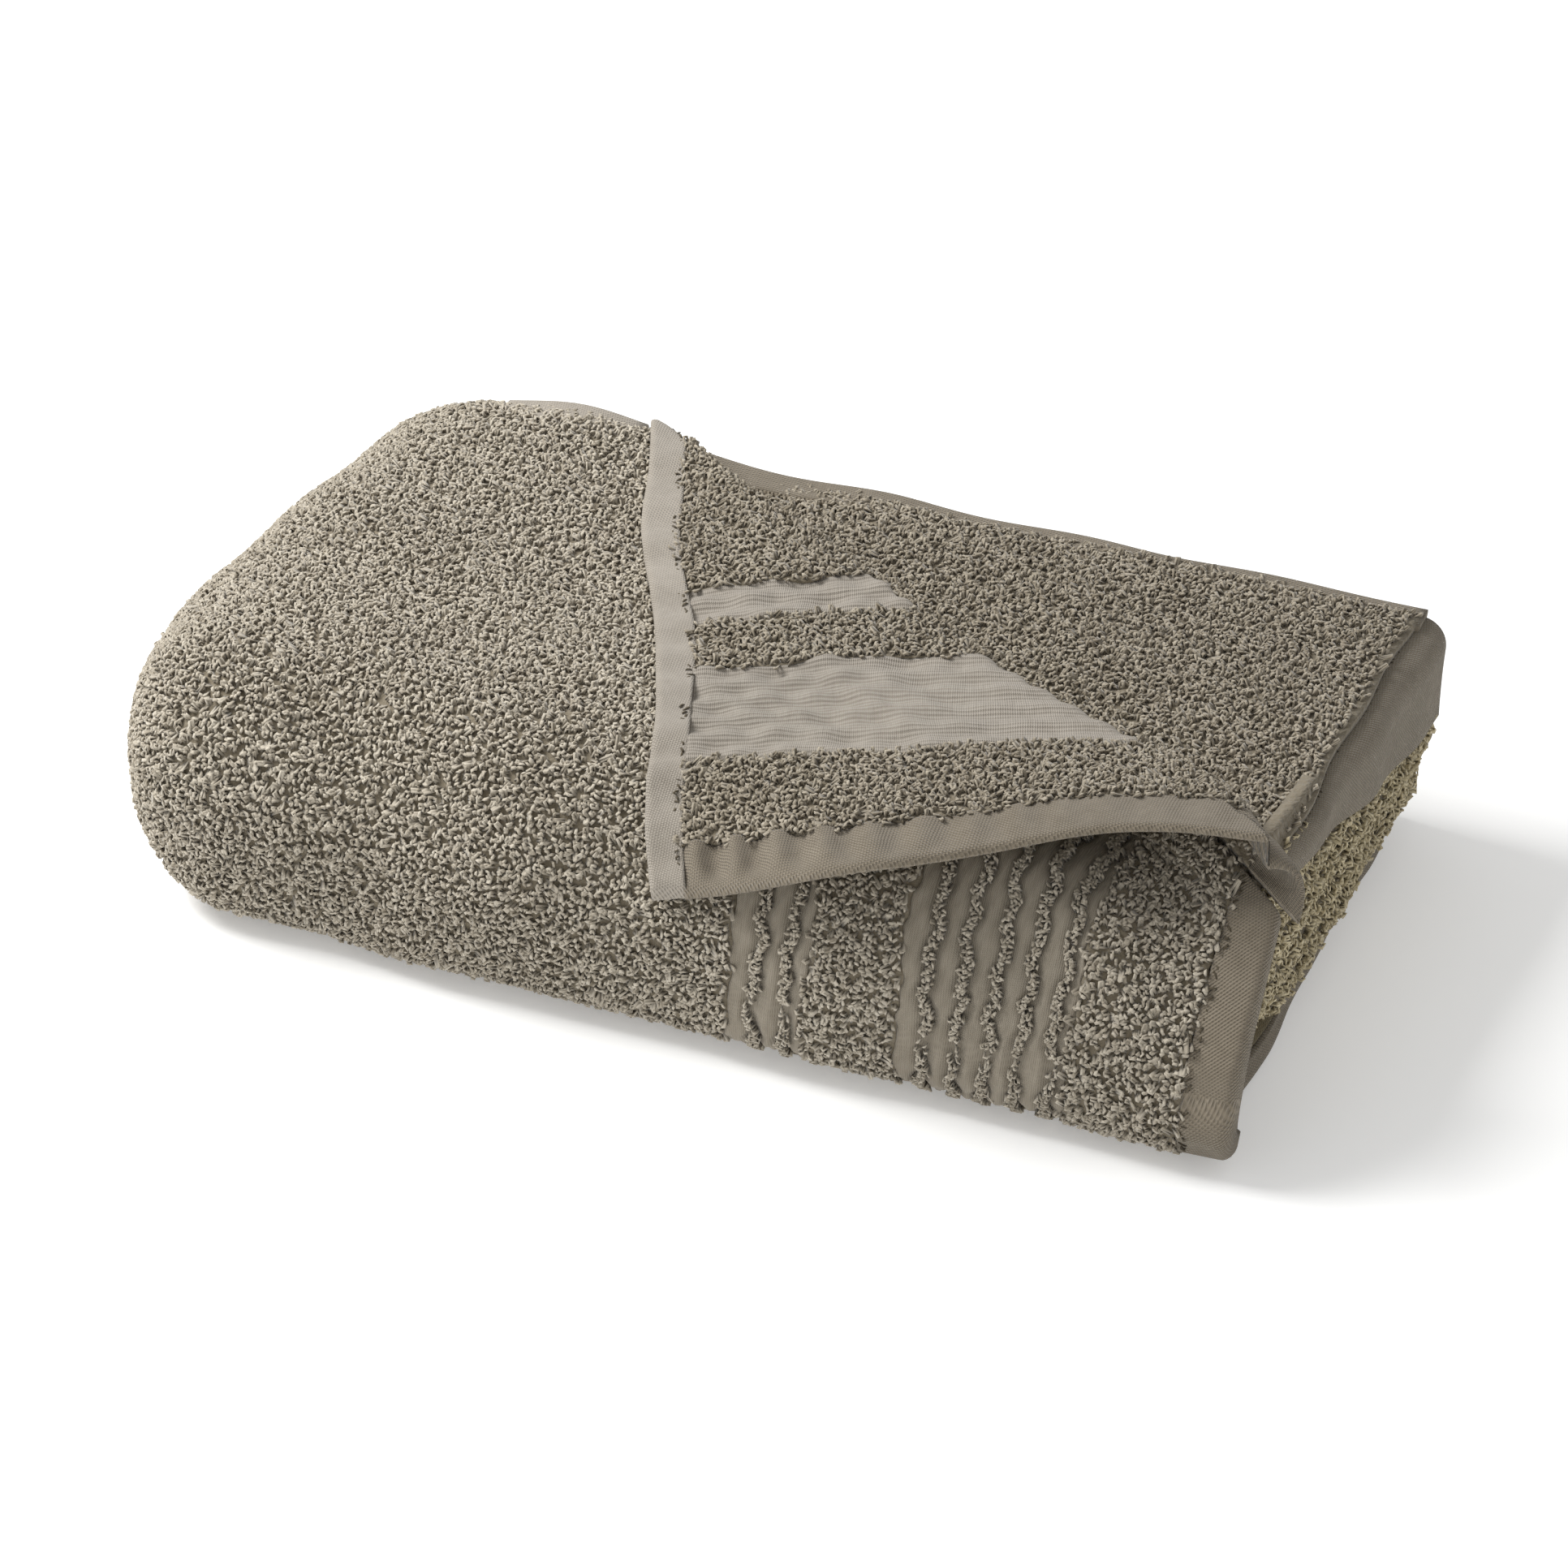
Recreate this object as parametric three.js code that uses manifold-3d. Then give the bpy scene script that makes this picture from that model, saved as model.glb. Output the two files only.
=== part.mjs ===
// A bath towel folded into a pile, one corner of its outer ply turned back.
// Millimetres, +X along the pile's long side, +Y to the rear, +Z up, origin under the middle.
//
// The towel is folded in four along its length, which gives four plies, and then in four
// across its width, so that each ply runs through the pile as one long folded strip:
// over the top, round the front, along the underside, round the rear, and back inside.

import * as THREE from 'three';
import { mergeVertices } from 'three/addons/utils/BufferGeometryUtils.js';
import Module from 'manifold-3d';

const wasm = await Module();
wasm.setup();

// ---------------------------------------------------------------- driving dimensions

const pileLength = 362;        // left roll to right end
const pileWidth = 193;         // round front to the rear edges
const plyPitch = 4.8;          // one pressed ply of terry with its air gap
const gap = 0.3;               // air between neighbouring pieces
const plies = 4;               // plies in each pass of the folded strip
const frontTopRadius = 45;
const frontBottomShare = 0.38; // of the height left by the front's top round, see below
const leftRollDepth = 45;      // how far the left roll reaches along the pile
const leftRollInset = 33;      // how far the roll's end is drawn in at the front, top and bottom
const rearInsetShare = 0.4;    // and at the rear, as a share of that
const rollAir = 1;             // slack between the roll's outer ply and the folds in it

const hemWidth = 18;           // end hem, cloth edge to last loops
const hemTurned = 3;           // part of the end hem that turns down over the right end
const outerTerryWidth = 33;
const wideFlatWidth = 50;
const innerTerryWidth = 27;
const narrowFlatWidth = 23;
const sideHemWidth = 11;

const flatRecess = 2.1;        // how far the woven bands lie below the loops
const hemRecess = 1.5;         // how far the hems lie below the loops
const lipThickness = 2.4;      // cloth of a hem that turns over the end
const lipDepth = 6;            // reach of the outer hem's lip down the end
const innerLipDepth = 14;      // reach of the second ply's hem down the end
const cordWidth = 3;           // raised pile cords on the flat bands
const cordRecess = 0.5;
const narrowCords = 2;
const wideCords = 5;
const threadWidth = 1;
const threadHeight = 0.5;

const foldStart = -73;         // where the turned-back corner's fold meets the rear edge
const foldAngle = 31.5;        // degrees from the long side to the fold, in plan
const cornerAngle = 69;        // degrees from the long side to the turned side hem
const cornerLength = 220;      // side hem of the turned corner, fold to cloth corner
const rowsRucked = 0.76;       // share of each row's width that the corner's rucks leave
const foldEndRadius = 10;      // the fold is pressed flat at the rear and opens to this
const liftReach = 90;          // how far from the fold the corner stands off the pile

const arcSteps = 10;           // chords in a quarter turn of a fold
const rollSteps = 9;           // rings of the left roll
const cellDepth = 7;           // facet size of the turned-back corner, front to rear
const cellLength = 12;         // and along the pile

// ---------------------------------------------------------------- derived sizes

const terryThickness = plyPitch - gap;
const pileHeight = 4 * plies * plyPitch;
const rearRadius = plies * plyPitch;
// A fold of all the plies turns on rearRadius at the tightest; the front's bottom turns on more.
const frontBottomRadius = rearRadius
  + (pileHeight - frontTopRadius - rearRadius) * frontBottomShare;
const rearY = pileWidth / 2;
const frontY = -rearY;
const rightEnd = pileLength / 2;
const leftEnd = rollStart(0);
// The inner fold lies flat against the top plies only behind the front's top round.
const innerFoldY = frontY + Math.max(2 * rearRadius, frontTopRadius) + gap;
const innerFoldZ = 2 * rearRadius + gap / 2;

const hemStart = rightEnd + hemTurned - hemWidth;
const outerTerryStart = hemStart - outerTerryWidth;
const wideFlatStart = outerTerryStart - wideFlatWidth;
const innerTerryStart = wideFlatStart - innerTerryWidth;
const narrowFlatStart = innerTerryStart - narrowFlatWidth;
const secondPlyEnd = rightEnd - lipThickness - gap;
const secondHemStart = secondPlyEnd - hemWidth + innerLipDepth;
const foldedPliesEnd = secondPlyEnd - gap;
const pairedFoldStart = foldedPliesEnd - plyPitch;

function rollStart(inset) {
  return -rightEnd + leftRollDepth + inset;
}

// ---------------------------------------------------------------- colours

const terryColour = 0xa39885;
const wovenColour = 0xa89c8a;
const hemColour = 0xaa9e8c;
const threadColour = 0x8d8270;
const innerColour = 0x8f8672;

// ---------------------------------------------------------------- mesh helpers

const towel = new THREE.Group();
const pile = new THREE.Group();
towel.add(pile);

function addPiece(name, geometry, color) {
  const material = new THREE.MeshStandardMaterial({ color, roughness: 0.95, metalness: 0 });
  const mesh = new THREE.Mesh(geometry, material);
  mesh.name = name;
  pile.add(mesh);
}

function toSolid(geometry) {
  const bare = geometry.clone();
  bare.deleteAttribute('normal');
  bare.deleteAttribute('uv');
  const merged = mergeVertices(bare, 1e-4);
  return new wasm.Manifold(new wasm.Mesh({
    numProp: 3,
    vertProperties: Float32Array.from(merged.attributes.position.array),
    triVerts: Uint32Array.from(merged.index.array),
  }));
}

function toGeometry(solid) {
  const found = solid.getMesh();
  const geometry = new THREE.BufferGeometry();
  geometry.setAttribute('position', new THREE.BufferAttribute(found.vertProperties, 3));
  geometry.setIndex(new THREE.BufferAttribute(found.triVerts, 1));
  return geometry;
}

function trianglesToGeometry(points, triangles) {
  const geometry = new THREE.BufferGeometry();
  geometry.setAttribute('position', new THREE.Float32BufferAttribute(points.flat(), 3));
  geometry.setIndex(triangles.flat());
  return geometry;
}

// ---------------------------------------------------------------- the folded strip

// Points and outward normals round an arc in the Y-Z plane, angles in degrees.
function arc(y, z, radius, from, to) {
  const steps = Math.max(2, Math.ceil((Math.abs(to - from) / 90) * arcSteps));
  const found = [];
  for (let i = 0; i <= steps; i += 1) {
    const angle = THREE.MathUtils.degToRad(from + ((to - from) * i) / steps);
    const side = Math.sign(to - from);
    const normal = [Math.cos(angle) * side, Math.sin(angle) * side];
    found.push({ at: [y + radius * Math.cos(angle), z + radius * Math.sin(angle)], normal });
  }
  return found;
}

// The middle of a ply at this depth below the pile's surface, pass by pass.
function passes(depth) {
  const top = pileHeight - depth;
  const upper = { y: frontY + frontTopRadius, z: pileHeight - frontTopRadius };
  const lower = { y: frontY + frontBottomRadius, z: frontBottomRadius };
  const rear = { y: rearY - rearRadius, z: rearRadius };
  const inner = depth + gap / 2;
  return {
    top: [{ at: [rearY - sideHemWidth - gap, top], normal: [0, 1] }],
    front: [
      ...arc(upper.y, upper.z, frontTopRadius - depth, 90, 180),
      ...arc(lower.y, lower.z, frontBottomRadius - depth, 180, 270),
    ],
    rear: arc(rear.y, rear.z, rearRadius - depth, -90, 90),
    inside: [
      ...arc(innerFoldY, innerFoldZ, inner, 270, 90),
      { at: [rearY - sideHemWidth - gap, innerFoldZ + inner], normal: [0, -1] },
    ],
  };
}

// A strip of cloth between two depths, along the passes named, from X to X.
function foldedStrip(outerDepth, innerDepth, names, fromX, toX) {
  const middle = (outerDepth + innerDepth) / 2;
  const half = (innerDepth - outerDepth) / 2;
  const all = passes(middle);
  const line = names.flatMap((name) => all[name]);
  const beside = (offset) => line.map(({ at, normal }) => (
    new THREE.Vector2(at[0] + normal[0] * offset, at[1] + normal[1] * offset)));
  const shape = new THREE.Shape([...beside(half), ...beside(-half).reverse()]);
  const geometry = new THREE.ExtrudeGeometry(shape, { depth: toX - fromX, bevelEnabled: false });
  // The section is drawn in X-Y and pushed along Z: turn it to Y-Z pushed along X.
  geometry.applyMatrix4(new THREE.Matrix4().set(0, 0, 1, fromX, 1, 0, 0, 0, 0, 1, 0, 0, 0, 0, 0, 1));
  return geometry;
}

// ---------------------------------------------------------------- plan of the turned corner

// Places on the turned corner are flat co-ordinates: x as on the pile, and s, the distance
// over the cloth from the rear edge. They are wrapped over the front afterwards.
const flatTop = pileWidth - frontTopRadius;
const turnStart = new THREE.Vector2(foldStart, 0);
const foldWay = direction(foldAngle);
const awayFromFold = new THREE.Vector2(-foldWay.y, foldWay.x);
const clothCorner = turnStart.clone().addScaledVector(direction(cornerAngle), cornerLength);
const foldLength = cornerLength / Math.cos(THREE.MathUtils.degToRad(cornerAngle - foldAngle));
const foldTip = turnStart.clone().addScaledVector(foldWay, foldLength);
const hemWay = foldTip.clone().sub(clothCorner).normalize();
const inFromHem = new THREE.Vector2(hemWay.y, -hemWay.x);
const inFromSide = direction(cornerAngle - 90);
const foldStartRadius = terryThickness + gap / 2;
const rollFrom = foldStartRadius / Math.tan(THREE.MathUtils.degToRad(foldAngle)) + gap;
const rollTo = (rightEnd - gap - foldStart - foldEndRadius * foldWay.y) / foldWay.x;

function direction(degrees) {
  const angle = THREE.MathUtils.degToRad(degrees);
  return new THREE.Vector2(Math.cos(angle), Math.sin(angle));
}

function foldRadius(along) {
  const share = THREE.MathUtils.clamp(along / foldLength, 0, 1);
  return THREE.MathUtils.lerp(foldStartRadius, foldEndRadius, share);
}

// How far the corner stands off the pile beside its open fold.
function lift(place) {
  const from = place.clone().sub(turnStart);
  const radius = foldRadius(from.dot(foldWay));
  const settled = THREE.MathUtils.smoothstep(from.dot(awayFromFold), radius, liftReach);
  return 2 * (radius - foldStartRadius) * (1 - settled);
}

// A flat place at a height over the outer ply, as a point of the pile.
function wrapped(place, height) {
  const over = height + lift(place);
  const radius = frontTopRadius + gap + terryThickness / 2;
  const angle = (place.y - flatTop) / radius;
  if (angle <= 0) return [place.x, rearY - place.y, pileHeight + over];
  const turned = Math.min(angle, Math.PI / 2);
  const reach = frontTopRadius + over;
  return [
    place.x,
    frontY + frontTopRadius - reach * Math.sin(turned),
    pileHeight - frontTopRadius + reach * Math.cos(turned) - (angle - turned) * radius,
  ];
}

// Keeps the part of a convex outline where inward . (point - onLine) is at least least.
function keepBeyond(outline, onLine, inward, least) {
  const depthOf = (point) => point.clone().sub(onLine).dot(inward) - least;
  return outline.flatMap((point, i) => {
    const next = outline[(i + 1) % outline.length];
    const here = depthOf(point);
    const there = depthOf(next);
    const kept = here >= 0 ? [point] : [];
    if (here * there < 0) kept.push(point.clone().lerp(next, here / (here - there)));
    return kept;
  });
}

// The rows of the turned corner lie side by side from its end hem to its fold, and stop
// clear of the fold, whose radius grows along it.
function cornerRow(fromHem, toHem, fromSide, toSide = cornerLength) {
  const offFold = awayFromFold.clone().multiplyScalar(foldLength)
    .addScaledVector(foldWay, foldStartRadius - foldEndRadius).normalize();
  let outline = [turnStart, foldTip, clothCorner].map((point) => point.clone());
  outline = keepBeyond(outline, turnStart, offFold, foldStartRadius + gap);
  outline = keepBeyond(outline, clothCorner, inFromHem, fromHem);
  outline = keepBeyond(outline, clothCorner, inFromHem.clone().negate(), -toHem);
  outline = keepBeyond(outline, clothCorner, inFromSide, fromSide);
  return keepBeyond(outline, clothCorner, inFromSide.clone().negate(), -toSide);
}

// The part of a convex outline in one band of width step, counted along one axis.
function bandOf(outline, axis, index, step) {
  const line = axis.clone().multiplyScalar(index * step);
  const beyond = keepBeyond(outline, line, axis, 0);
  return keepBeyond(beyond, line.addScaledVector(axis, step), axis.clone().negate(), 0);
}

function bandsOf(outline, axis, step) {
  const reaches = outline.map((point) => point.dot(axis) / step);
  const bands = [];
  for (let i = Math.floor(Math.min(...reaches)); i < Math.max(...reaches); i += 1) {
    bands.push(bandOf(outline, axis, i, step));
  }
  return bands.filter((band) => band.length > 2);
}

// Shared corners of neighbouring cells become one place, and each cell becomes triangles.
function meshed(outline) {
  const rows = bandsOf(outline, new THREE.Vector2(0, 1), cellDepth);
  const cells = rows.flatMap((row) => bandsOf(row, new THREE.Vector2(1, 0), cellLength));
  const places = [];
  const known = new Map();
  const indexOf = (place) => {
    const key = `${place.x.toFixed(4)} ${place.y.toFixed(4)}`;
    if (!known.has(key)) known.set(key, places.push(place) - 1);
    return known.get(key);
  };
  const triangles = cells.flatMap((cell) => {
    const corners = [...new Set(cell.map(indexOf))];
    return corners.slice(2).map((corner, i) => [corners[0], corners[i + 1], corner]);
  });
  return { places, triangles };
}

// A slab over one outline of the turned corner, between two heights over the outer ply.
function wrappedSlab(outline, low, high) {
  const { places, triangles } = meshed(outline);
  const count = places.length;
  const points = [low, high].flatMap((height) => places.map((place) => wrapped(place, height)));
  const edges = new Set(triangles.flatMap(([a, b, c]) => [`${a} ${b}`, `${b} ${c}`, `${c} ${a}`]));
  const rim = [...edges].map((edge) => edge.split(' ').map(Number))
    .filter(([a, b]) => !edges.has(`${b} ${a}`));
  return trianglesToGeometry(points, [
    ...triangles,
    ...triangles.map(([a, b, c]) => [c + count, b + count, a + count]),
    ...rim.flatMap(([a, b]) => [[b, a, a + count], [b, a + count, b + count]]),
  ]);
}

// ---------------------------------------------------------------- the outer ply

// Everything of the outer ply beyond the fold has been turned back: a wedge is cut away.
function turnedAway() {
  const beside = (along) => turnStart.clone().addScaledVector(foldWay, along)
    .addScaledVector(awayFromFold, foldRadius(along) + gap);
  const beyond = 2 * foldLength;
  const front = beside(foldLength).lerp(beside(0), -1);
  const rear = beside(0).lerp(beside(foldLength), -1);
  const outline = [rear, front, new THREE.Vector2(beyond, front.y), new THREE.Vector2(beyond, rear.y)];
  const shape = new THREE.Shape(outline.map((place) => new THREE.Vector2(place.x, rearY - place.y)));
  const wedge = new THREE.ExtrudeGeometry(shape, { depth: plyPitch + gap, bevelEnabled: false });
  wedge.translate(0, 0, pileHeight - plyPitch);
  return toSolid(wedge);
}

const wedge = turnedAway();
const wholePly = ['top', 'front', 'rear', 'inside'];
const shownPasses = ['top', 'front'];

function outerRow(recess, fromX, toX) {
  const strip = foldedStrip(recess, terryThickness, wholePly, fromX + gap / 2, toX - gap / 2);
  return toGeometry(toSolid(strip).subtract(wedge));
}

function raisedRow(outer, inner, fromX, toX) {
  return toGeometry(toSolid(foldedStrip(outer, inner, shownPasses, fromX, toX)).subtract(wedge));
}

function addCords(name, count, fromX, toX) {
  for (let i = 0; i < count; i += 1) {
    const x = fromX + ((toX - fromX) * (i + 0.65)) / (count + 0.3);
    const cord = raisedRow(cordRecess, flatRecess - gap, x - cordWidth / 2, x + cordWidth / 2);
    addPiece(`${name}_${i + 1}`, cord, terryColour);
  }
}

// The outer hem is turned in over the right end all round the front.
function addEndHem() {
  const lipFrom = rightEnd - lipThickness;
  const flat = toSolid(foldedStrip(hemRecess, terryThickness, wholePly, hemStart + gap / 2, rightEnd));
  const lip = toSolid(foldedStrip(hemRecess, lipDepth, ['front'], lipFrom, rightEnd));
  addPiece('end_hem', toGeometry(flat.add(lip).subtract(wedge)), hemColour);
  const stitches = raisedRow(
    hemRecess - gap - threadHeight,
    hemRecess - gap,
    hemStart + threadWidth,
    hemStart + 2 * threadWidth,
  );
  addPiece('end_hem_stitching', stitches, threadColour);
}

function addOuterPly() {
  addPiece('outer_ply_terry_field', outerRow(0, leftEnd, narrowFlatStart), terryColour);
  addPiece('narrow_flat_band', outerRow(flatRecess, narrowFlatStart, innerTerryStart), wovenColour);
  addCords('narrow_band_pile_cord', narrowCords, narrowFlatStart, innerTerryStart);
  addPiece('inner_terry_band', outerRow(0, innerTerryStart, wideFlatStart), terryColour);
  addPiece('wide_flat_band', outerRow(flatRecess, wideFlatStart, outerTerryStart), wovenColour);
  addCords('wide_band_pile_cord', wideCords, wideFlatStart, outerTerryStart);
  addPiece('outer_terry_band', outerRow(0, outerTerryStart, hemStart), terryColour);
  addEndHem();
}

// ---------------------------------------------------------------- the plies inside

function innerPly(index, fromX, toX, recess = 0) {
  const depth = index * plyPitch;
  return foldedStrip(depth + recess, depth + terryThickness, wholePly, fromX, toX);
}

// The second ply's hem shows beside the turned corner and rolls down over the right end.
function addSecondPly() {
  addPiece('second_ply_terry_field', innerPly(1, leftEnd, secondHemStart), terryColour);
  const hem = toSolid(innerPly(1, secondHemStart + gap, secondPlyEnd, hemRecess));
  const lipOuter = plyPitch + hemRecess;
  const lipFront = frontY + frontTopRadius + plyPitch;
  const lip = new THREE.BoxGeometry(lipThickness, rearY - sideHemWidth - gap - lipFront, innerLipDepth);
  lip.translate(
    rightEnd - lipThickness / 2 - gap,
    (rearY - sideHemWidth - gap + lipFront) / 2,
    pileHeight - lipOuter - innerLipDepth / 2,
  );
  addPiece('second_ply_end_hem', toGeometry(hem.add(toSolid(lip))), hemColour);
}

// The third and fourth plies meet in a fold at the right end.
function addFoldedPlies() {
  addPiece('third_ply', innerPly(2, leftEnd, pairedFoldStart - gap), innerColour);
  addPiece('fourth_ply', innerPly(3, leftEnd, pairedFoldStart - gap), innerColour);
  const fold = foldedStrip(
    2 * plyPitch,
    3 * plyPitch + terryThickness,
    wholePly,
    pairedFoldStart,
    foldedPliesEnd,
  );
  addPiece('third_to_fourth_ply_fold', fold, terryColour);
}

// Each ply ends at the rear in two side hems, one from each side of the cloth.
function addSideHems() {
  const ends = [foldStart - gap, secondPlyEnd, pairedFoldStart - gap, pairedFoldStart - gap];
  for (let index = 0; index < plies; index += 1) {
    const depth = index * plyPitch + hemRecess;
    const thick = terryThickness - hemRecess;
    const length = ends[index] - leftEnd;
    const innerLength = (index === 0 ? rightEnd : ends[index]) - leftEnd;
    const upper = new THREE.BoxGeometry(length, sideHemWidth, thick);
    upper.translate(leftEnd + length / 2, rearY - sideHemWidth / 2, pileHeight - depth - thick / 2);
    const lower = new THREE.BoxGeometry(innerLength, sideHemWidth, thick);
    const lowerZ = innerFoldZ + gap / 2 + index * plyPitch + thick / 2;
    lower.translate(leftEnd + innerLength / 2, rearY - sideHemWidth / 2, lowerZ);
    addPiece(`first_side_hem_of_ply_${index + 1}`, upper, hemColour);
    addPiece(`second_side_hem_of_ply_${index + 1}`, lower, hemColour);
  }
}

// ---------------------------------------------------------------- the left roll

// The pile's closed section, drawn in by inset all round.
function section(inset) {
  const corners = [
    [rearY - rearRadius / 2, pileHeight - rearRadius / 2, rearRadius / 2, 0],
    [frontY + frontTopRadius, pileHeight - frontTopRadius, frontTopRadius, 90],
    [frontY + frontBottomRadius, frontBottomRadius, frontBottomRadius, 180],
    [rearY - rearRadius, rearRadius, rearRadius, 270],
  ];
  return corners.flatMap(([y, z, radius, from]) => {
    const reach = Math.max(radius - inset, gap);
    const slide = Math.max(inset + gap - radius, 0);
    const middle = THREE.MathUtils.degToRad(from + 45);
    const centreY = y - Math.sign(Math.cos(middle)) * slide;
    const centreZ = z - Math.sign(Math.sin(middle)) * slide;
    const ring = arc(centreY, centreZ, reach, from, from + 90).map(({ at }) => at);
    return ring.map(([pointY, pointZ]) => [pointY + rearStretch(pointY, inset), pointZ]);
  });
}

// The roll's rear is drawn in less than its front: what is given back grows to the rear.
function rearStretch(y, inset) {
  const share = (y - frontY - inset) / (pileWidth - 2 * inset);
  return (1 - rearInsetShare) * inset * share;
}

// One ring of points for each step from the pile's side to the roll's end.
function rollRings(wall, startX) {
  const rings = [];
  for (let i = 0; i <= rollSteps; i += 1) {
    const angle = (Math.PI / 2) * (i / rollSteps);
    const x = startX - (startX - rollStart(-leftRollDepth) - wall) * Math.sin(angle);
    const inset = wall + (leftRollInset - wall) * (1 - Math.cos(angle));
    rings.push(section(inset).map(([y, z]) => [x, y, z]));
  }
  return rings;
}

// Joins rings into a surface; the side on which it faces follows the order of the rings.
function skin(rings, closeStart, closeEnd) {
  const size = rings[0].length;
  const triangles = [];
  for (let ring = 0; ring + 1 < rings.length; ring += 1) {
    for (let i = 0; i < size; i += 1) {
      const [a, b] = [ring * size + i, ring * size + ((i + 1) % size)];
      triangles.push([b, a, a + size], [b, a + size, b + size]);
    }
  }
  const last = (rings.length - 1) * size;
  for (let i = 1; i + 1 < size; i += 1) {
    if (closeStart) triangles.push([0, i, i + 1]);
    if (closeEnd) triangles.push([last, last + i + 1, last + i]);
  }
  return trianglesToGeometry(rings.flat(), triangles);
}

function addLeftRoll() {
  const start = leftEnd - gap;
  const outside = rollRings(0, start);
  const inside = rollRings(terryThickness, start);
  const shell = skin([...inside.reverse(), ...outside], true, true);
  addPiece('left_roll_outer_ply', shell, terryColour);
  const filling = skin(rollRings(terryThickness + rollAir, start), true, true);
  addPiece('left_roll_inner_folds', filling, innerColour);
}

// ---------------------------------------------------------------- the turned-back corner

function addCornerRow(name, fromHem, toHem, recess, color) {
  const row = cornerRow(fromHem + gap / 2, toHem - gap / 2, sideHemWidth + gap);
  addPiece(name, wrappedSlab(row, gap, gap + terryThickness - recess), color);
}

function addCornerHems() {
  const top = gap + terryThickness - hemRecess;
  const endHem = cornerRow(0, hemWidth - gap / 2, 0);
  addPiece('corner_end_hem', wrappedSlab(endHem, gap, top), hemColour);
  const sideHem = cornerRow(hemWidth + gap / 2, cornerLength, 0, sideHemWidth);
  addPiece('corner_side_hem', wrappedSlab(sideHem, gap, top), hemColour);
  const thread = [top + gap, top + gap + threadHeight];
  const endRow = [hemWidth - 3 * threadWidth, hemWidth - 2 * threadWidth];
  const sideRow = [sideHemWidth - 3 * threadWidth, sideHemWidth - 2 * threadWidth];
  const endThread = cornerRow(...endRow, sideHemWidth + gap);
  const sideThread = cornerRow(hemWidth + gap, cornerLength, ...sideRow);
  addPiece('corner_end_hem_stitching', wrappedSlab(endThread, ...thread), threadColour);
  addPiece('corner_side_hem_stitching', wrappedSlab(sideThread, ...thread), threadColour);
}

function addTurnedCorner() {
  addCornerHems();
  let at = hemWidth;
  const rows = [
    ['corner_outer_terry_band', outerTerryWidth, 0, terryColour],
    ['corner_wide_flat_band', wideFlatWidth, flatRecess, wovenColour],
    ['corner_inner_terry_band', innerTerryWidth, 0, terryColour],
    ['corner_narrow_flat_band', narrowFlatWidth, flatRecess, wovenColour],
  ];
  for (const [name, width, recess, color] of rows) {
    const next = at + width * rowsRucked;
    addCornerRow(name, at, next, recess, color);
    at = next;
  }
  addCornerRow('corner_terry_field', at, cornerLength, 0, terryColour);
}

// The cloth's turn itself: a roll that opens towards the right end.
function addCornerFold() {
  const centre = (along) => {
    const place = turnStart.clone().addScaledVector(foldWay, along);
    const height = pileHeight - terryThickness + foldRadius(along);
    return new THREE.Vector3(place.x, rearY - place.y, height);
  };
  const [from, to] = [centre(rollFrom), centre(rollTo)];
  const length = from.distanceTo(to);
  const roll = new THREE.CylinderGeometry(foldRadius(rollTo), foldRadius(rollFrom), length, 24);
  const up = new THREE.Vector3(0, 1, 0);
  const turn = new THREE.Quaternion().setFromUnitVectors(up, to.clone().sub(from).normalize());
  roll.applyQuaternion(turn);
  roll.translate(...from.lerp(to, 0.5).toArray());
  addPiece('corner_fold', roll, terryColour);
}

addOuterPly();
addSecondPly();
addFoldedPlies();
addSideHems();
addLeftRoll();
addTurnedCorner();
addCornerFold();

const whole = new THREE.Box3().setFromObject(pile);
pile.position.y = -(whole.min.y + whole.max.y) / 2;

export default towel;
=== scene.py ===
import math
import bpy
import numpy as np
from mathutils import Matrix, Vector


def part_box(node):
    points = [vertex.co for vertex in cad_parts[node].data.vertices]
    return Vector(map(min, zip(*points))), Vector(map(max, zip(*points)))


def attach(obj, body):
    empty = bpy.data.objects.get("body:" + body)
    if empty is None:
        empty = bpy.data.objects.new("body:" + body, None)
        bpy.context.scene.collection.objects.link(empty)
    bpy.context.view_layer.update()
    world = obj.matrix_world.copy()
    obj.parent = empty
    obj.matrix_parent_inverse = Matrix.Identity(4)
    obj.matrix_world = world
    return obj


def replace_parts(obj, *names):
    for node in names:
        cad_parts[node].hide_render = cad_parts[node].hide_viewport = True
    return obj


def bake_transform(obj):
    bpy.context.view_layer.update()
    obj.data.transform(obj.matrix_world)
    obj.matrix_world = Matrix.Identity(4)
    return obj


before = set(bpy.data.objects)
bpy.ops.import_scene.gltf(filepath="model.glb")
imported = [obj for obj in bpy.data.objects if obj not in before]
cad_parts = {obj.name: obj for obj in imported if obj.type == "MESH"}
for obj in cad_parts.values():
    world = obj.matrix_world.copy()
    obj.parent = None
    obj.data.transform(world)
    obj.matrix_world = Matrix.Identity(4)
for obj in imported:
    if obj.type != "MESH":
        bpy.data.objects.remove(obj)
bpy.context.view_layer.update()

bpy.ops.object.select_all(action="DESELECT")

# ---------------------------------------------------------------- ground cloth of the outer ply
# The towel's outer layer, right side out: a cotton ground woven under the loops. It runs from
# the rear over the top, round the front, along the underside and round the rear again, and at
# the left it turns down in one full-height roll.

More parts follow.
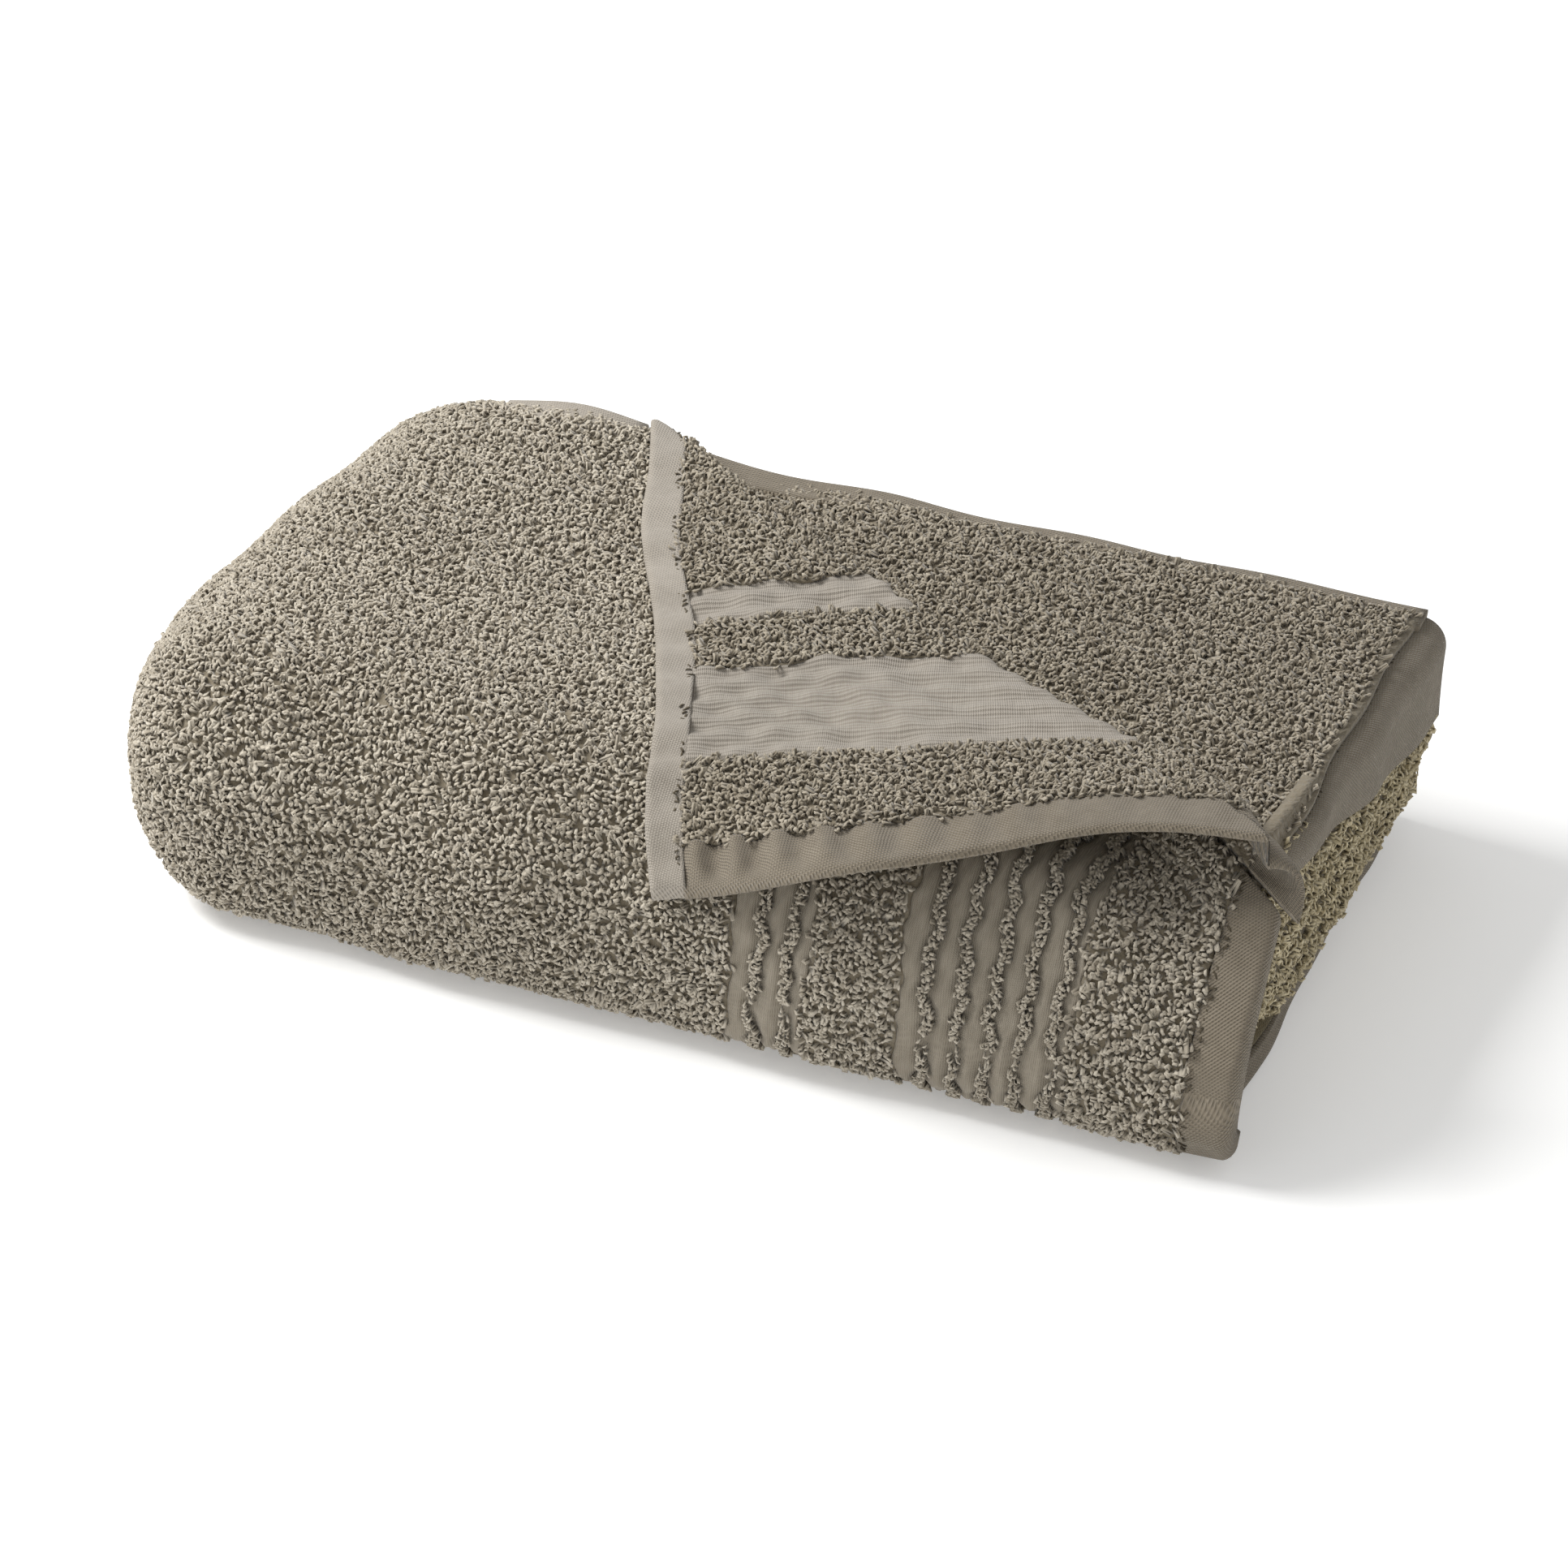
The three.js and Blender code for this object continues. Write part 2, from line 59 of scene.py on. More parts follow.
pile_height, pile_width = 76.8, 193.0
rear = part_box("first_side_hem_of_ply_1")[1][1] * 1000
front = rear - pile_width
roll_start, roll_depth, roll_inset, roll_run = -125.5, 55.2, 36.2, 68.8
top_radius, bottom_radius, rear_radius = 45.0, 24.0, 19.2
flat_top = pile_width - top_radius
round_top = flat_top + top_radius * math.pi / 2
front_end = round_top + pile_height - top_radius - bottom_radius
round_bottom = front_end + bottom_radius * math.pi / 2
under_end = round_bottom + pile_width - bottom_radius - rear_radius
round_rear = under_end + rear_radius * math.pi
loop_height = 1.9
ply_pitch, ply_thickness = 4.8, 4.5
fold_start, fold_angle, side_angle, side_length = -73.0, 31.5, 69.0, 233.0
fold_way = np.array([math.cos(math.radians(fold_angle)), math.sin(math.radians(fold_angle))])
off_fold = np.array([-fold_way[1], fold_way[0]])
inner_lap = 22.0  # how far the outer ply runs back inside, past the rear fold
settled = 0.45  # the front's lower round is squashed by the pile's weight, towards a corner


def section(t, depth):
    """Y and Z of a ply at distance t over the cloth from its rear edge, depth under the surface."""
    a = (t - flat_top) / top_radius
    b = (t - front_end) / bottom_radius
    c = (t - under_end) / rear_radius
    r1, r2, r3 = top_radius - depth, bottom_radius - depth, rear_radius - depth
    where = [t <= flat_top, t <= round_top, t <= front_end, t <= round_bottom,
             t <= under_end, t <= round_rear]
    y = np.select(where, [
        rear - t, front + top_radius - r1 * np.sin(a), front + depth,
        front + bottom_radius - r2 * np.clip(np.cos(b), 0, 1) ** settled,
        front + bottom_radius + t - round_bottom, rear - rear_radius + r3 * np.sin(c)],
        rear - rear_radius - (t - round_rear))
    z = np.select(where, [
        pile_height - depth, pile_height - top_radius + r1 * np.cos(a),
        pile_height - top_radius - (t - round_top),
        bottom_radius - r2 * np.clip(np.sin(b), 0, 1) ** settled,
        depth, rear_radius - r3 * np.cos(c)], 2 * rear_radius - depth)
    return y, z


def smooth(low, high, value):
    share = np.clip((value - low) / (high - low), 0, 1)
    return share * share * (3 - 2 * share)


def drawn_in(x, y, z):
    """The left roll turns down and in towards its end, and the front leans back at the right."""
    turn = np.clip((roll_start - x) / roll_run, 0, 1) * math.pi / 2
    past = np.clip(roll_start - roll_run - x, 0, pile_height)
    inset = roll_inset * (1 - np.cos(turn)) + past
    narrowed = np.clip(1 - 1.15 * inset / (pile_height / 2), 0.004, 1)
    share = (y - front) / pile_width
    off_middle = (y + 38) / 100
    reach = roll_depth - np.where(off_middle < 0, 37.0, 9.6) * off_middle ** 2
    lean = 22 * smooth(60, 181, x) * smooth(8, 80, z) * np.clip(1 - share, 0, 1)
    middle = 40.5
    return np.stack([
        np.where(x < roll_start, roll_start - reach * np.sin(turn) - 0.12 * past, x),
        y + inset * (1 - 1.27 * share) + lean,
        middle + (z - middle) * narrowed], -1)


dice = np.random.default_rng(11)
swell_ways = dice.normal(size=(14, 3))
swell_ways *= (2 * math.pi / dice.uniform(38, 150, 14) / np.linalg.norm(swell_ways, axis=1))[:, None]
swell_sizes = dice.normal(size=(14, 3)) * np.array([0.30, 0.34, 0.24])
swell_starts = dice.uniform(0, 6.28, 14)


def softened(points):
    """Cloth never lies quite flat: slow swells, the same for every layer, so none cuts another."""
    swell = np.sin(points @ swell_ways.T + swell_starts) @ swell_sizes
    swell[..., 2] *= np.clip(points[..., 2] / 14, 0, 1)
    x, y, z = np.moveaxis(points, -1, 0)
    swell[..., 2] += 6.5 * np.exp(-((x + 90) / 34) ** 2) * smooth(40, 97, y) * np.clip(z / 77, 0, 1)
    return points + swell


def unsoftened(x, t, depth):
    x, t, depth = np.broadcast_arrays(np.asarray(x, float), np.asarray(t, float), np.asarray(depth, float))
    y, z = section(t, depth)
    z = z - 3.2 * np.clip(1 - t / 10, 0, 1) ** 2 * np.clip((z - 60) / 10, 0, 1)
    return drawn_in(x, y, z)


def on_pile(x, t, depth):
    """A point of the folded pile in millimetres, for arrays of x, t and depth."""
    return softened(unsoftened(x, t, depth))


def normals_of(grid):
    du, dv = np.gradient(grid, axis=0), np.gradient(grid, axis=1)
    n = np.cross(du, dv)
    return n / np.maximum(np.linalg.norm(n, axis=-1, keepdims=True), 1e-9)


def add_mesh(name, points, faces, material):
    """A smooth-shaded mesh, its points in millimetres."""
    mesh = bpy.data.meshes.new(name)
    mesh.from_pydata((points * 0.001).tolist(), [], faces)
    mesh.validate()
    piece = bpy.data.objects.new(name, mesh)
    bpy.context.collection.objects.link(piece)
    mesh.materials.append(material)
    mesh.polygons.foreach_set("use_smooth", [True] * len(mesh.polygons))
    return piece


def add_slab(name, outer, inner, material, cloth_x, cloth_y):
    """A closed layer of cloth between two grids of points, with its place on the cloth as its UV."""
    m, n = outer.shape[:2]
    at = np.arange(m * n).reshape(m, n)
    quads = np.stack([at[:-1, :-1], at[1:, :-1], at[1:, 1:], at[:-1, 1:]], -1).reshape(-1, 4)
    rim = np.concatenate([at[:, 0], at[-1, 1:], at[-2::-1, -1], at[0, -2:0:-1]])
    after = np.roll(rim, -1)
    sides = np.stack([after, rim, rim + m * n, after + m * n], -1)
    faces = np.concatenate([quads, quads[:, ::-1] + m * n, sides])
    way = ((normals_of(outer) * (outer - inner)).sum(-1)).mean()
    if way < 0:
        faces = faces[:, ::-1]
    points = np.concatenate([outer.reshape(-1, 3), inner.reshape(-1, 3)])
    piece = add_mesh(name, points, faces.tolist(), material)
    place = np.stack(np.broadcast_arrays(cloth_x, cloth_y), -1).reshape(-1, 2)
    place = np.concatenate([place, place]) * 0.001
    corner = np.empty(len(piece.data.loops), int)
    piece.data.loops.foreach_get("vertex_index", corner)
    layer = piece.data.uv_layers.new(name="cloth")
    layer.uv.foreach_set("vector", place[corner].astype(np.float32).ravel())
    return piece


class Wire:
    """One socket of a material's nodes. Sums and products of wires add their Math nodes."""

    def __init__(self, tree, socket=None):
        self.tree, self.socket = tree, socket

    def node(self, kind, settings=(), inputs=(), out=0):
        made = self.tree.nodes.new(kind)
        for name, value in dict(settings).items():
            setattr(made, name, value)
        for name, value in dict(inputs).items():
            if isinstance(value, Wire):
                self.tree.links.new(value.socket, made.inputs[name])
            else:
                made.inputs[name].default_value = value
        return Wire(self.tree, made.outputs[out])

    def maths(self, operation, *values):
        return self.node("ShaderNodeMath", {"operation": operation}, dict(enumerate((self, *values))))

    def mix(self, low, high):
        return self.node("ShaderNodeMix", {"data_type": "RGBA"}, {0: self, 6: low, 7: high}, out=2)

    def __add__(self, other):
        return self.maths("ADD", other)

    def __mul__(self, other):
        return self.maths("MULTIPLY", other)

    def __sub__(self, other):
        return self.maths("SUBTRACT", other)


def shade(red, green, blue):
    """A cloth colour from its printed shade, 0 to 255 a channel."""
    return tuple((c / 255) ** 2.2 for c in (red, green, blue)) + (1.0,)


def new_cloth(name, make, sheen=0.25, bump=0.35, depth=0.0006):
    """A cotton finish: make returns the colour and the height of the surface from a wire."""
    material = bpy.data.materials.new(name)
    material.use_nodes = True
    tree = material.node_tree
    skin = tree.nodes["Principled BSDF"]
    start = Wire(tree)
    colour, height = make(start)
    tree.links.new(colour.socket, skin.inputs["Base Color"])
    raised = start.node("ShaderNodeBump", (), {"Strength": bump, "Distance": depth, "Height": height})
    tree.links.new(raised.socket, skin.inputs["Normal"])
    skin.inputs["Roughness"].default_value = 0.95
    skin.inputs["Specular IOR Level"].default_value = 0.2
    skin.inputs["Sheen Weight"].default_value = sheen
    skin.inputs["Sheen Roughness"].default_value = 0.5
    material.diffuse_color = (0.36, 0.31, 0.25, 1)
    return material


def noise(start, size, detail=2.0):
    """Even noise over the piece, its grain size millimetres."""
    place = start.node("ShaderNodeTexCoord", out=3)
    return start.node("ShaderNodeTexNoise", (), {
        "Vector": place, "Scale": 1000 / size, "Detail": detail, "Roughness": 0.5})


def ground_look(dark, light):
    def make(start):
        grain, drift = noise(start, 2.2, 3.0), noise(start, 45)
        return (grain * 0.7 + drift * 0.3).mix(dark, light), grain
    return make


# The ground cloth under the loops is coloured darker than the loops' yarn: painted shade for the gaps between
# the loops. Its grain and drift are its own.
terry_ground_painted_shade = new_cloth("terry_ground_painted_shade", ground_look(shade(104, 95, 79), shade(150, 140, 122)),
                         bump=0.8, depth=0.0014)

narrow_start, inner_start, wide_start, outer_start, hem_start = 33.0, 56.0, 83.0, 133.0, 166.0


def row_edge(x, t):
    """The border's rows run a little wavy round the pile."""
    return x + 0.7 * np.sin(t / 9.5 + x * 0.7) + 0.5 * np.sin(t / 2.3 + x * 1.9)


def fold_bend(x):
    """The fold sags to the front near its open end."""
    return 8 * smooth(60, 150, x) + 13 * smooth(115, 185, x)


def fold_line(x):
    """Distance over the cloth from the rear edge to the diagonal fold, at x."""
    return np.clip((x - fold_start) * math.tan(math.radians(fold_angle)) + fold_bend(x), 0, None)


def on_outer(x, t, depth):
    """A point of the outer ply, which sinks a little in front of its turned-back corner."""
    off = t - fold_line(x)
    sunk = 8 * smooth(50, 120, x) * smooth(174, 146, x) * smooth(0, 16, off) * smooth(62, 22, off)
    return on_pile(x, t, depth + sunk)


def outer_grid(x_from, x_to, steps, depth, wavy=(False, False), rows=150):
    """The grid of one part of the outer ply: x across the part, t round the pile."""
    share = np.linspace(0, 1, steps)[:, None]
    body = np.linspace(0, 1, rows)[None, :]
    t = body * (round_rear + inner_lap)
    left = row_edge(x_from, t) if wavy[0] else x_from
    right = row_edge(x_to, t) if wavy[1] else x_to
    x = left + (right - left) * share
    from_t = fold_line(x)
    t = np.where(t < round_bottom, from_t + (round_bottom - from_t) * t / round_bottom, t)
    return x, t, on_outer(x, t, depth(x, t) if callable(depth) else depth)


def outer_part(name, x_from, x_to, steps, depth, material, wavy=(False, False), rows=150):
    x, t, top = outer_grid(x_from, x_to, steps, depth, wavy=wavy, rows=rows)
    below = on_outer(x, t, ply_thickness)
    return add_slab(name, top, below, material, x, t)


field_ground = outer_part("terry_field_ground", roll_start - roll_run - 5, narrow_start, 90,
                          loop_height, terry_ground_painted_shade, (False, True))
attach(field_ground, "folded_pile")

roll_x = np.linspace(roll_start - roll_run - 5, roll_start + 7, 28)[:, None]
roll_rise = np.linspace(0, 1, 14)[None, :]


def roll_rear(depth):
    """The roll's rear side, above the rear fold: it closes the roll and tucks in at its right edge."""
    x, rise = np.broadcast_arrays(roll_x, roll_rise)
    z = 2 * rear_radius - 2 + (pile_height - 2 * rear_radius - 1.5) * rise
    tuck = 5.0 * np.clip((x - roll_start + 1) / 8, 0, 1) ** 2
    y = rear - depth - tuck + 1.2 * np.sin(rise * math.pi) - 3.2 * np.clip((rise - 0.8) / 0.2, 0, 1) ** 2
    return softened(drawn_in(x, y, z))


roll_back = add_slab("left_roll_rear_ground", roll_rear(loop_height), roll_rear(ply_thickness),
                     terry_ground_painted_shade, roll_x, roll_rise * 40)
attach(roll_back, "folded_pile")
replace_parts(roll_back, "left_roll_outer_ply", "left_roll_inner_folds")

# ---------------------------------------------------------------- terry loops of the outer ply
# The pile of the terry: loops of twisted cotton that stand out of the ground cloth and lean
# every way after washing. Each is a short bent yarn with both ends in the ground.


def yarn_look(dark, light, colour_kept_at_root=0.62):
    def make(start):
        tone = start.node("ShaderNodeAttribute", {"attribute_name": "tone"}, out=2)
        tip = start.node("ShaderNodeAttribute", {"attribute_name": "tip"}, out=2)
        drift = noise(start, 38)
        wool = (tone * 0.62 + drift * 0.38).mix(dark, light)
        # Each yarn darkens towards near black at both roots, where it goes into the ground: painted shade
        # among the packed loops. Its tone and drift are its own colour.
        root_shade_factor = (tip * (1 - colour_kept_at_root) + colour_kept_at_root)
        yarn_with_root_shade = root_shade_factor.mix((0.02, 0.016, 0.011, 1), wool)
        return yarn_with_root_shade, noise(start, 0.7, 1.0)
    return make


loop_yarn = new_cloth("terry_loop_yarn", yarn_look(shade(146, 136, 119), shade(206, 197, 180)),
                      bump=0.3, depth=0.0002)
# A darker copy of the same loop yarn, for the second ply's loops and the upward loops of the turned-back
# corner: painted shade.
shaded_copy_loop_yarn = new_cloth("shaded_copy_loop_yarn", yarn_look(shade(120, 110, 93), shade(184, 174, 156)),
                           bump=0.3, depth=0.0002)


def scatter(x, t, grid, spacing, seed, keep=None):
    """Places in staggered rows over a grid of points, each a little off its row."""
    roll = np.random.default_rng(seed)
    n = normals_of(grid)
    m, k = grid.shape[:2]
    x, t = np.broadcast_arrays(x, t)
    mid = k // 2
    run = np.concatenate([[0], np.cumsum(np.linalg.norm(np.diff(grid[:, mid], axis=0), axis=1))])
    found = []
    for at in np.arange(spacing / 2, run[-1], spacing):
        i = np.interp(at, run, np.arange(m))
        low = min(int(i), m - 2)
        row = grid[low] * (1 - i + low) + grid[low + 1] * (i - low)
        along = np.concatenate([[0], np.cumsum(np.linalg.norm(np.diff(row, axis=0), axis=1))])
        places = np.arange(roll.uniform(0, spacing), along[-1], spacing)
        places = places + roll.uniform(-0.42, 0.42, len(places)) * spacing
        j = np.interp(places, along, np.arange(k))
        step = max(run[-1] / (m - 1), 1e-6)
        i_all = np.clip(i + roll.uniform(-0.42, 0.42, len(places)) * spacing / step, 0, m - 1.001)
        found.append(np.stack([i_all, np.clip(j, 0, k - 1.001)], -1))
    spots = np.concatenate(found)
    i, j = spots[:, 0].astype(int), spots[:, 1].astype(int)
    fi, fj = (spots[:, 0] - i)[:, None], (spots[:, 1] - j)[:, None]

    def blend(values):
        values = values if values.ndim == 3 else values[..., None]
        low = values[i, j] * (1 - fi) + values[i + 1, j] * fi
        high = values[i, j + 1] * (1 - fi) + values[i + 1, j + 1] * fi
        return low * (1 - fj) + high * fj

    points, normals = blend(grid), blend(n)
    along = blend(np.gradient(grid, axis=1))
    places = np.concatenate([blend(x), blend(t)], 1)
    good = np.ones(len(points), bool) if keep is None else keep(places[:, 0], places[:, 1])
    return points[good], normals[good], along[good], places[good]


def tufts(name, points, normals, along, material, seed,
          height=2.1, width=1.35, yarn=0.46, lean=1.0, outward=1.0):
    """One bent, leaning yarn at each point, 20 triangles each."""
    roll = np.random.default_rng(seed)
    count = len(points)
    normals = normals * outward
    normals = normals / np.linalg.norm(normals, axis=1, keepdims=True)
    along = along - normals * (along * normals).sum(1, keepdims=True)
    along = along / np.maximum(np.linalg.norm(along, axis=1, keepdims=True), 1e-9)
    beside = np.cross(normals, along)
    turn = roll.uniform(0, 2 * math.pi, count)
    a = along * np.cos(turn)[:, None] + beside * np.sin(turn)[:, None]
    b = np.cross(normals, a)
    w = width * roll.uniform(0.7, 1.3, count)
    h = height * roll.uniform(0.75, 1.2, count)
    tilt = lean * roll.normal(0, 1, count) * h
    slide = roll.normal(0, 0.35, count) * w
    k = np.linspace(0, 1, 4)
    arch = np.sin(math.pi * k)
    path = (points[:, None]
            + a[:, None] * (-np.cos(math.pi * k)[None] * w[:, None] / 2
                            + slide[:, None] * arch[None])[..., None]
            + b[:, None] * (tilt[:, None] * arch[None] ** 1.5 + (k - 0.5)[None] * w[:, None] * 0.5)[..., None]
            + normals[:, None] * (h[:, None] * arch[None] ** 0.8 - 0.5)[..., None])
    way = np.gradient(path, axis=1)
    way /= np.maximum(np.linalg.norm(way, axis=2, keepdims=True), 1e-9)
    side = np.cross(way, normals[:, None] + 0.01)
    side /= np.maximum(np.linalg.norm(side, axis=2, keepdims=True), 1e-9)
    up = np.cross(side, way)
    taper = np.array([0.8, 1.1, 1.1, 0.8])[None, :, None]
    thick = yarn * roll.uniform(0.8, 1.25, count)[:, None, None] * taper
    rings = []
    for corner in range(3):
        angle = 2 * math.pi * corner / 3 + 0.5
        rings.append(path + thick * (side * math.cos(angle) + up * math.sin(angle)))
    shape = np.stack(rings, 2).reshape(-1, 3)
    first = np.arange(count)[:, None] * 12
    quads = []
    for ring in range(3):
        for corner in range(3):
            n1, n2 = ring * 3 + corner, ring * 3 + (corner + 1) % 3
            quads.append([n1, n2, n2 + 3, n1 + 3])
    quads = (first[:, None] + np.array(quads)[None]).reshape(-1, 4)
    ends = (first[:, None] + np.array([[2, 1, 0], [9, 10, 11]])[None]).reshape(-1, 3)
    piece = add_mesh(name, shape, quads.tolist() + ends.tolist(), material)
    # The tip value runs from 0 at a yarn's roots to 1 along its arch; the yarn's material paints shade at the
    # roots by it.
    for title, values in (("tone", np.repeat(roll.uniform(0, 1, count), 12)),
                          ("tip", np.tile(np.repeat(np.clip(arch * 1.3, 0, 1), 3), count))):
        attribute = piece.data.attributes.new(title, "FLOAT", "POINT")
        attribute.data.foreach_set("value", values.astype(np.float32))
    return piece


spacing = 1.45        # between loops
loops_in_a_piece = 9000
x, t, ground = outer_grid(roll_start - roll_run - 5, narrow_start, 90, loop_height, wavy=(False, True))
places = scatter(x, t, ground, spacing, 3)
regions = [
    ("left_roll_loops", lambda x, t: x < roll_start),
    ("top_terry_loops", lambda x, t: (x >= roll_start) & (t < flat_top)),
    ("front_terry_loops", lambda x, t: (x >= roll_start) & (t >= flat_top) & (t < round_bottom + 12)),
    ("rear_fold_loops", lambda x, t: (x >= roll_start) & (t > under_end - 12)),
]
field_loops = []
for name, inside in regions:
    kept = np.flatnonzero(inside(places[3][:, 0], places[3][:, 1]))
    for number, part in enumerate(np.array_split(kept, len(kept) // loops_in_a_piece + 1)):
        loops = tufts(f"{name}_{number + 1}", *[a[part] for a in places[:3]], loop_yarn,
                      20 + len(field_loops), outward=-1.0)
        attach(loops, "folded_pile")
        field_loops.append(loops)
grid = roll_rear(loop_height)
spots = scatter(roll_x, roll_rise, grid, spacing, 5)
roll_back_loops = tufts("left_roll_rear_loops", *spots[:3], loop_yarn, 31,
                        outward=np.sign(normals_of(grid)[..., 1].mean()))
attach(roll_back_loops, "folded_pile")
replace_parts(field_ground, "outer_ply_terry_field")

# ---------------------------------------------------------------- woven bands of the border
# Where the loops stop, the ground shows as two flat plain-woven bands, a narrow one and a wide
# one. They shrink less than the terry, so the cloth between the cords puffs and puckers.


def weave_look(dark, light, ribbed=0.0, pitch=0.62):
    def make(start):
        place = start.node("ShaderNodeUVMap", {"uv_map": "cloth"})
        u = place.node("ShaderNodeSeparateXYZ", (), {"Vector": place}, out=0)
        v = place.node("ShaderNodeSeparateXYZ", (), {"Vector": place}, out=1)
        rough = noise(start, 5.0, 3.0)
        turn = 2 * math.pi * 1000 / pitch
        warp = (u * turn + rough * 2.5).maths("SINE")
        weft = (v * turn + rough * 2.5).maths("SINE")
        line = (v * (turn * 0.36) + rough * 1.5).maths("SINE")
        woven = ((warp + warp * weft) * 0.5 * (1 - ribbed) + line * ribbed) * 0.5 + 0.5
        slub = start.node("ShaderNodeMapping", (), {"Vector": place, "Scale": (2400.0, 90.0, 1.0)})
        slub = start.node("ShaderNodeTexNoise", (), {"Vector": slub, "Scale": 1.0, "Detail": 2.0})
        tone = rough * 0.35 + slub * 0.35 + woven * 0.3
        return tone.mix(dark, light), woven + rough * 0.8
    return make


woven_cotton = new_cloth("woven_cotton", weave_look(shade(110, 101, 86), shade(178, 169, 154)),
                         sheen=0.2, bump=0.45, depth=0.0005)
ribbed_cotton = new_cloth("ribbed_cotton", weave_look(shade(118, 109, 97), shade(192, 184, 172), 0.5),
                          sheen=0.2, bump=0.8, depth=0.0008)

narrow_cords = [41.0, 50.2]
wide_cords = [90.5, 99.9, 109.4, 119.0, 128.4]


def cord_line(x, t):
    """Where a cord runs: it snakes between the puffs of the flat cloth."""
    return x + 0.7 * np.sin(t / 2.15 + x * 0.9) + 0.45 * np.sin(t / 5.3 + x * 0.31)


def band_depth(cords):
    def depth(x, t):
        nearest = np.min([np.abs(x - cord_line(at, t)) for at in cords], axis=0)
        puff = smooth(1.0, 4.0, nearest)
        return 2.9 - 1.3 * puff - 0.35 * puff * np.sin(t / 2.15 + x * 0.5) * np.sin(t / 7.7 + x)
    return depth


narrow_band = outer_part("narrow_flat_cloth", narrow_start, inner_start, 30, band_depth(narrow_cords),
                         woven_cotton, (True, True), rows=260)
wide_band = outer_part("wide_flat_cloth", wide_start, outer_start, 60, band_depth(wide_cords),
                       woven_cotton, (True, True), rows=260)
for band, node in ((narrow_band, "narrow_flat_band"), (wide_band, "wide_flat_band")):
    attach(band, "folded_pile")
    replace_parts(band, node)

# ---------------------------------------------------------------- pile cords
# On the flat bands stand raised cords, each two or three loops wide, woven in one with the
# band. They snake where the cloth between them puffs.


def add_cord(name, at, seed):
    roll = np.random.default_rng(seed)
    t = np.arange(4, round_bottom + 60, 0.3)
    x = cord_line(at, t) + roll.uniform(-1.2, 1.2, len(t))
    kept = t > fold_line(x) - 4
    t, x = t[kept], x[kept]
    base = on_outer(x, t, 2.0)
    up = on_outer(x, t, 1.0) - base
    way = on_outer(x, t + 1, 2.0) - base
    piece = tufts(name, base, up, way, loop_yarn, seed, height=1.9, width=1.3, yarn=0.4, lean=0.4)
    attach(piece, "folded_pile")
    return piece


narrow_cord_loops = [add_cord(f"narrow_cord_{i + 1}", at, 60 + i) for i, at in enumerate(narrow_cords)]
wide_cord_loops = [add_cord(f"wide_cord_{i + 1}", at, 70 + i) for i, at in enumerate(wide_cords)]
for i, piece in enumerate(narrow_cord_loops):
    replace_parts(piece, f"narrow_band_pile_cord_{i + 1}")
for i, piece in enumerate(wide_cord_loops):
    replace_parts(piece, f"wide_band_pile_cord_{i + 1}")

# ---------------------------------------------------------------- terry bands of the border
# Between the flat bands, and between the wide one and the hem, the loops return in two bands,
# in the same yarn as the field.


def outer_terry(name, x_from, x_to, node, seed):
    base = outer_part(name + "_ground", x_from, x_to, 14, loop_height, terry_ground_painted_shade, (True, True))
    x, t, top = outer_grid(x_from, x_to, 14, loop_height, wavy=(True, True))
    spots = scatter(x, t, top, spacing, seed, lambda x, t: (t < round_bottom + 30) | (t > under_end - 12))
    loops = tufts(name + "_loops", *spots[:3], loop_yarn, seed, outward=-1.0)
    for piece in (base, loops):
        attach(piece, "folded_pile")
    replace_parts(base, node)


outer_terry("inner_terry", inner_start, wide_start, "inner_terry_band", 81)
outer_terry("outer_terry", outer_start, hem_start, "outer_terry_band", 82)

# ---------------------------------------------------------------- end hem of the outer ply
# The end of the towel is turned under twice and sewn: a flat twill hem with a row of
# stitches along the loops. Its last part turns in over the pile's right end.


def twill_look(dark, light, pitch=1.15):
    def make(start):
        place = start.node("ShaderNodeUVMap", {"uv_map": "cloth"})
        u = place.node("ShaderNodeSeparateXYZ", (), {"Vector": place}, out=0)
        v = place.node("ShaderNodeSeparateXYZ", (), {"Vector": place}, out=1)
        rough = noise(start, 3.0, 3.0)
        turn = 2 * math.pi * 1000 / pitch
        rib = ((u + v) * turn + rough * 3.0).maths("SINE")
        pick = (v * (turn * 1.3) - u * (turn * 0.35)).maths("SINE")
        raised = (rib * 0.6 + rib * pick * 0.4) * 0.5 + 0.5
        drift = noise(start, 16)
        return (raised * 0.4 + rough * 0.3 + drift * 0.3).mix(dark, light), raised
    return make


# Two copies of one hem twill, told apart only by light: the darker one is painted shade for the end hems and
# the lower side hems; the lighter one is for the top ply's side hem and the corner's side hem, which lie in
# the light.
hem_twill = new_cloth("hem_twill", twill_look(shade(96, 86, 70), shade(166, 155, 138)),
                      sheen=0.2, bump=0.9, depth=0.0007)
lit_hem_twill = new_cloth("lit_side_hem_twill", twill_look(shade(130, 121, 108), shade(192, 184, 172)),
                       sheen=0.2, bump=0.8, depth=0.0006)
# A still darker copy of the hem twill for the lowest plies' ends under the right end: painted shade.
low_painted_shade_twill = new_cloth("lowest_ply_painted_shade_twill", twill_look(shade(74, 64, 44), shade(118, 107, 80)),
                      sheen=0.1, bump=0.8, depth=0.0006)
# The thread is darker than the hem cloth, and each stitch darkens further where it dips in: painted shade,
# from the yarn look.
seam_thread = new_cloth("seam_thread", yarn_look(shade(74, 66, 52), shade(110, 101, 86), 0.7),
                        sheen=0.1, bump=0.2, depth=0.0002)


def rounded(distance, radius=2.2):
    """Half thickness of a turned hem, as a share, this far from its edge."""
    return np.sqrt(np.clip(1 - (1 - np.clip(distance / radius, 0, 1)) ** 2, 0.0004, 1))


